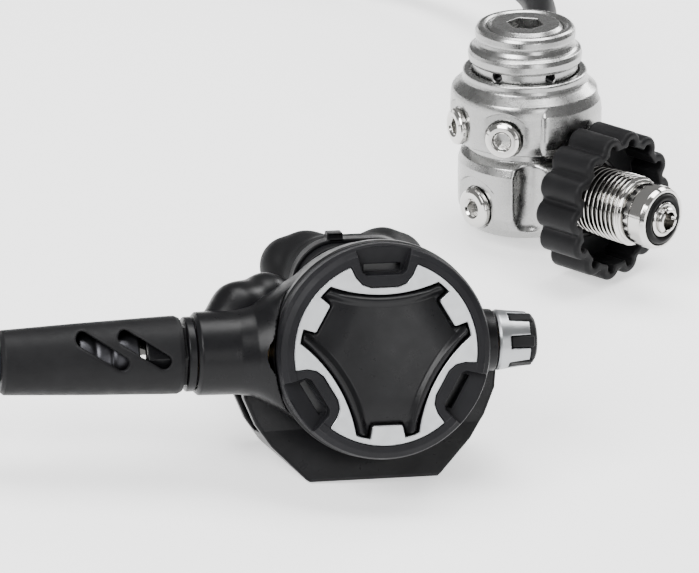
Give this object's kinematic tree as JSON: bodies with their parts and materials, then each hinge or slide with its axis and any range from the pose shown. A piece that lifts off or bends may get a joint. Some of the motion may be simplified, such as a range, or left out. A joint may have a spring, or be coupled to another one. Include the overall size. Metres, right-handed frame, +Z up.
{
  "type": "scuba regulator set",
  "caption": "Scuba regulator set: a DIN first stage with a rubber handwheel, and an adjustable second stage with purge cover and mouthpiece on a low-pressure hose.",
  "frame": {"origin": "on the table, at the centre of the set's footprint without its free hose", "axes": "+Z up from the table, +X from the second stage's hose side toward its knob side, +Y from the covers' side toward the mouthpiece side"},
  "size_m": [0.2996, 0.3842, 0.0775],
  "materials": {
    "pearl_chrome": "satin pearl chrome",
    "polished_chrome": "polished",
    "steel": "bright drawn steel",
    "brass": "machined",
    "black_rubber": "satin",
    "black_plastic": "satin moulded",
    "button_plastic": "semi-gloss",
    "silver_plastic": "satin metallic",
    "silicone": "translucent silicone",
    "o_ring": "nitrile"
  },
  "bodies": {
    "first_stage": {"first_stage_body": "pearl_chrome", "spring_housing": "pearl_chrome", "cap_ring": "pearl_chrome", "main_spring": "steel", "main_diaphragm": "o_ring", "high_orifice": "brass", "high_spring": "steel", "low_port_plugs": "polished_chrome", "high_port_plugs": "polished_chrome", "port_o_rings": "o_ring", "din_retainer": "polished_chrome", "din_face_o_ring": "o_ring", "seal_valve_spring": "steel", "inlet_filter": "brass", "hose_fitting": "polished_chrome", "hose_ferrules": "steel", "hose": "black_rubber", "hose_protector": "black_rubber", "hose_stem": "polished_chrome", "hose_o_rings": "o_ring"},
    "adjusting_screw": {"adjusting_screw": "pearl_chrome"},
    "valve_train": {"spring_plate": "brass", "transmission_pin": "brass", "high_poppet": "black_plastic"},
    "din_wheel": {"din_thread_sleeve": "polished_chrome", "handwheel": "black_rubber"},
    "seal_valve": {"seal_valve": "polished_chrome"},
    "second_stage": {"swivel_nut": "black_plastic", "second_stage_case": "black_plastic", "bypass_tube": "black_plastic", "front_ring": "black_plastic", "cover_ring": "black_plastic", "accent_ring": "silver_plastic", "valve_barrel": "brass", "inlet_orifice": "brass", "barrel_o_rings": "o_ring", "diaphragm": "silicone", "purge_spring": "steel", "poppet_spring": "steel", "exhaust_tee": "black_plastic", "mouthpiece": "black_rubber", "mouthpiece_clamp": "black_plastic"},
    "purge_button": {"purge_button": "button_plastic"},
    "diaphragm_plate": {"diaphragm_plate": "black_plastic"},
    "demand_lever": {"demand_lever": "steel"},
    "poppet": {"poppet": "black_plastic"},
    "knob": {"knob_body": "silver_plastic", "knob_grip": "black_rubber", "adjuster_spindle": "brass"},
    "exhaust_valve": {"exhaust_valve": "silicone"}
  },
  "joints": [
    {"name": "adjusting_screw_turn", "type": "hinge", "parent": "first_stage", "child": "adjusting_screw", "pos_m": [0.07288, 0.06995, 0.0676], "axis": [-0.092, 0.1266, 0.9877], "continuous": true},
    {"name": "valve_train_slide", "type": "slide", "parent": "first_stage", "child": "valve_train", "axis": [0.092, -0.1266, -0.9877], "range_m": [0, 0.0006], "stiffness_N_per_m": 2000, "deforming": ["main_spring", "high_spring", "main_diaphragm"]},
    {"name": "handwheel_spin", "type": "hinge", "parent": "first_stage", "child": "din_wheel", "pos_m": [0.09707, 0.03666, 0.02511], "axis": [0.5805, -0.7991, 0.1564], "continuous": true},
    {"name": "seal_valve_slide", "type": "slide", "parent": "first_stage", "child": "seal_valve", "axis": [-0.5805, 0.7991, -0.1564], "range_m": [0, 0.002], "stiffness_N_per_m": 1200, "deforming": ["seal_valve_spring"]},
    {"name": "second_stage_swivel", "type": "hinge", "parent": "first_stage", "child": "second_stage", "pos_m": [-0.06483, -0.09067, 0.03672], "axis": [0.998, 0, 0.0628], "continuous": true},
    {"name": "purge_press", "type": "slide", "parent": "second_stage", "child": "purge_button", "axis": [0.0235, 0.9272, -0.3739], "range_m": [0, 0.0024], "stiffness_N_per_m": 1500, "deforming": ["purge_spring", "diaphragm"]},
    {"name": "diaphragm_plate_slide", "type": "slide", "parent": "second_stage", "child": "diaphragm_plate", "axis": [0.0235, 0.9272, -0.3739], "range_m": [0, 0.0024]},
    {"name": "lever_swing", "type": "hinge", "parent": "second_stage", "child": "demand_lever", "pos_m": [0.00393, -0.09457, 0.04262], "axis": [0.0582, -0.3746, -0.9254], "range_deg": [0, 10.25]},
    {"name": "poppet_slide", "type": "slide", "parent": "second_stage", "child": "poppet", "axis": [0.998, 0, 0.0628], "range_m": [0, 0.00081], "deforming": ["poppet_spring"]},
    {"name": "knob_turn", "type": "hinge", "parent": "second_stage", "child": "knob", "pos_m": [0.03198, -0.09067, 0.04281], "axis": [0.998, 0, 0.0628], "range_deg": [-360, 360]},
    {"name": "exhaust_valve_lift", "type": "slide", "parent": "second_stage", "child": "exhaust_valve", "axis": [0.0235, 0.9272, -0.3739], "range_m": [0, 0.001], "stiffness_N_per_m": 100}
  ],
  "couplings": [
    {"joint": "diaphragm_plate_slide", "follows": "purge_press", "ratio": 1},
    {"joint": "lever_swing", "follows": "purge_press", "rad_per_m": 74.176},
    {"joint": "poppet_slide", "follows": "purge_press", "ratio": 0.3333}
  ]
}
